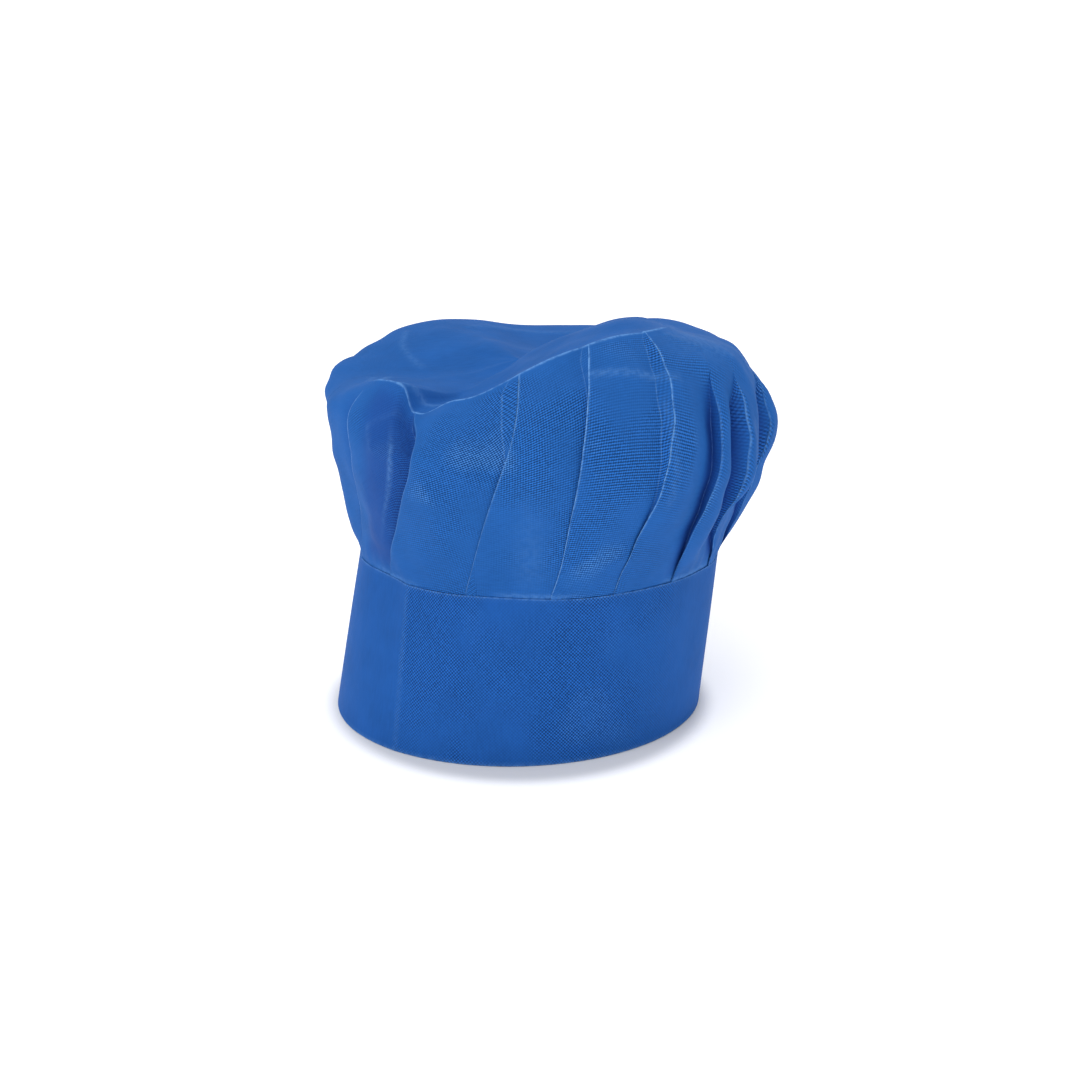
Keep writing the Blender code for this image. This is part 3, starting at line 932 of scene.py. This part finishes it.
def nonwoven(name, colour, turn, rows, columns, painted_sheen):
    """Spun-bonded cloth: matted fibres, pinned by a lattice of small pressed points.

    The lattice is turned by turn degrees; rows and columns say how clearly its lines show each way, and the
    last argument how strongly patches of its lattice get a painted sheen.
    """
    t = Tree(name)
    uv = t.node("ShaderNodeUVMap", uv_map="cloth")
    where = t.places()
    pressed, raised = emboss(t, uv, where, turn, rows, columns)
    fibre = matted_fibres(t, uv)

    cloud = t.noise(where, 45.0, 4.0, Roughness=0.6)
    base = t.mix(t.spread(cloud, 0.3, 0.7), shade(colour, 0.92), shade(colour, 1.08))
    handled = t.spread(t.noise(where, 15.0), 0.52, 0.72)
    base = t.mix(t.times(handled, 0.5), base, shade(colour, 1.22))
    base = t.mix(t.times(t.spread(fibre, 0.35, 0.65), 0.35), base, shade(colour, 1.25))
    base = t.mix(t.times(pressed, 0.95), base, shade(colour, 0.42))
    base = t.mix(t.times(raised, 0.95), base, shade(colour, 1.75))
    # Painted sheen: patches of the raised lattice are painted lighter, as if they caught the light
    sheen_patches = t.spread(t.noise(where, 32.0, 1.0), 0.56, 0.72)
    base = t.mix(t.times(t.times(raised, sheen_patches), painted_sheen), base, SHEEN_PATCH_BLUE)
    # Painted sheen: cloth seen along its surface is painted a lighter blue
    base = t.mix(t.times(t.node("ShaderNodeLayerWeight", 0.35, out=1), 0.2), base, GRAZING_SHEEN_BLUE)
    # Painted shade deep in the pleats and on the first panel
    base = t.mix(t.times(t.mesh_value("painted_shade"), 0.85), base, SHADE_BLUE)
    # Whitening of folded fibres, with painted highlights on folds, the ridge, the right shoulder and down
    # the front
    broken = t.spread(t.noise(where, 420.0), 0.32, 0.62, 0.35, 1.0)
    base = t.mix(t.times(t.times(t.mesh_value("crease"), broken), 0.9), base, WHITENING_AND_HIGHLIGHT_BLUE)

    relief = t.plus(t.times(pressed, -1.0), t.times(fibre, 0.5))
    bump = t.node("ShaderNodeBump", Height=relief, Distance=0.00015, Strength=1.0)
    ripple = t.noise(where, 70.0, 3.0)
    bump = t.node("ShaderNodeBump", Height=ripple, Distance=0.0012, Strength=0.35, Normal=bump)
    rough = t.math("SUBTRACT", 0.66, t.times(pressed, 0.3))
    t.set(Base_Color=base, Roughness=rough, Normal=bump, Specular_IOR_Level=0.05)
    t.set(Sheen_Weight=0.03, Sheen_Roughness=0.45, Sheen_Tint=(0.2, 0.5, 1.0, 1))
    return t.material


def tape_cloth(name, colour):
    """Woven backing of a fastening tape."""
    t = Tree(name)
    uv = t.node("ShaderNodeUVMap", uv_map="cloth")
    warp = t.node("ShaderNodeTexWave", uv, Scale=420.0, bands_direction="X")
    weft = t.node("ShaderNodeTexWave", uv, Scale=420.0, bands_direction="Y")
    weave = t.times(warp, weft)
    fuzz = t.noise(t.places(), 900.0, 3.0)
    base = t.mix(weave, shade(colour, 0.75), shade(colour, 1.2))
    base = t.mix(t.times(fuzz, 0.3), base, shade(colour, 1.7))
    bump = t.node("ShaderNodeBump", Height=t.plus(weave, fuzz), Distance=0.00015, Strength=0.8)
    t.set(Base_Color=base, Roughness=0.85, Normal=bump, Sheen_Weight=0.3, Sheen_Tint=(0.5, 0.7, 1.0, 1))
    return t.material


def thread_material(name, colour, rough):
    """Twisted thread or drawn filament."""
    t = Tree(name)
    twist = t.noise(t.places(), 2200.0)
    base = t.mix(twist, shade(colour, 0.8), shade(colour, 1.35))
    bump = t.node("ShaderNodeBump", Height=twist, Distance=0.00006, Strength=0.6)
    t.set(Base_Color=base, Roughness=rough, Normal=bump, Sheen_Weight=0.15)
    return t.material


# ---------------------------------------------------------------- studio


def make_floor():
    """White floor, as bright as the backdrop, with a painted contact shadow close to the hat."""
    bpy.ops.mesh.primitive_plane_add(size=FLOOR_SIZE, location=(0, 0, 0))
    floor = bpy.context.object
    floor.name = "studio_floor"
    t = Tree("studio_floor")
    where = t.places()
    stretched = t.node("ShaderNodeVectorMath", where, (1, SHADOW_REACH, 1), operation="MULTIPLY")
    away = t.node("ShaderNodeVectorMath", stretched, (*AXIS, 0), operation="DISTANCE", out=1)
    # Painted contact shadow: close to the hat the floor loses its glow and darkens to SHADOW_WHITE
    bright = t.spread(away, *LIGHT_RADII, 0.0, FLOOR_LIGHT)
    white = t.spread(away, *SHADOW_RADII, SHADOW_WHITE, FLOOR_WHITE)
    white = t.plus(white, t.times(t.noise(where, 3.0), 0.02))
    # Light that really comes through the thin cloth. It lights the hat's inside and is never seen itself
    inside = t.node("ShaderNodeVectorMath", where, (*AXIS, 0), operation="DISTANCE", out=1)
    glow = t.spread(inside, *GLOW_RADII, GLOW, 0.0)
    seen = t.node("ShaderNodeLightPath")
    bright = t.plus(bright, t.times(glow, t.math("SUBTRACT", 1.0, seen)))
    t.set(Base_Color=white, Roughness=0.9, Specular_IOR_Level=0.1)
    t.set(Emission_Color=(1, 1, 1, 1), Emission_Strength=bright)
    # Seen from below, the floor is clear
    clear = t.node("ShaderNodeBsdfTransparent")
    below = t.node("ShaderNodeNewGeometry", out=6)
    mixed = t.node("ShaderNodeMixShader", below, t.shader.outputs[0], clear)
    t.put(t.tree.nodes["Material Output"].inputs["Surface"], mixed)
    floor.data.materials.append(t.material)


def soft_sun(name, direction, strength, spread):
    """A very large soft light, far away in this direction."""
    data = bpy.data.lights.new(name, "SUN")
    data.energy = strength
    data.angle = math.radians(spread)
    lamp = bpy.data.objects.new(name, data)
    bpy.context.scene.collection.objects.link(lamp)
    lamp.rotation_euler = Vector(direction).to_track_quat("Z", "Y").to_euler()


def make_world():
    """White all round: bright where the camera sees it, softer as a light."""
    world = bpy.data.worlds.new("studio")
    bpy.context.scene.world = world
    world.use_nodes = True
    nodes, links = world.node_tree.nodes, world.node_tree.links
    background = nodes["Background"]
    background.inputs["Color"].default_value = (1, 1, 1, 1)
    path = nodes.new("ShaderNodeLightPath")
    level = nodes.new("ShaderNodeMapRange")
    level.inputs["To Min"].default_value = AMBIENT
    level.inputs["To Max"].default_value = BACKDROP
    links.new(path.outputs["Is Camera Ray"], level.inputs["Value"])
    links.new(level.outputs[0], background.inputs["Strength"])


def make_camera():
    data = bpy.data.cameras.new("camera")
    data.lens = CAMERA_LENS
    data.sensor_width = 36
    data.shift_x, data.shift_y = CAMERA_SHIFT
    camera = bpy.data.objects.new("camera", data)
    bpy.context.scene.collection.objects.link(camera)
    back = CAMERA_DISTANCE * math.cos(CAMERA_DOWN)
    up = CAMERA_DISTANCE * math.sin(CAMERA_DOWN)
    camera.location = (AXIS[0], AXIS[1] - back, CAMERA_AIM + up)
    camera.rotation_euler = (math.radians(90) - CAMERA_DOWN, 0, 0)
    bpy.context.scene.camera = camera


# ---------------------------------------------------------------- build

band_cloth = nonwoven("band_nonwoven", BAND_BLUE, turn=45, rows=1.0, columns=1.0, painted_sheen=0.2)
crown_cloth = nonwoven("crown_nonwoven", CROWN_BLUE, turn=0, rows=1.4, columns=0.65, painted_sheen=0.6)
tape_weave = tape_cloth("tape_backing", TAPE_BLUE)
filament = thread_material("tape_filament", TAPE_BLUE, 0.55)
thread = thread_material("sewing_thread", THREAD_BLUE, 0.5)

make_crown(crown_cloth)
make_headband(band_cloth)
make_tape("loop_tape_backing", LOOP_ENDS, LOOP_TAPE_OFFSET, "band", "loop_tape", tape_weave)
make_tape("hook_tape_backing", HOOK_ENDS, HOOK_TAPE_OFFSET, "closure_tab", "hook_tape", tape_weave)
make_loops(filament)
make_hooks(filament)
make_stitching(thread)

make_floor()
make_world()
for sun in SUNS:
    soft_sun(*sun)
make_camera()
bpy.context.scene.view_settings.view_transform = "Standard"
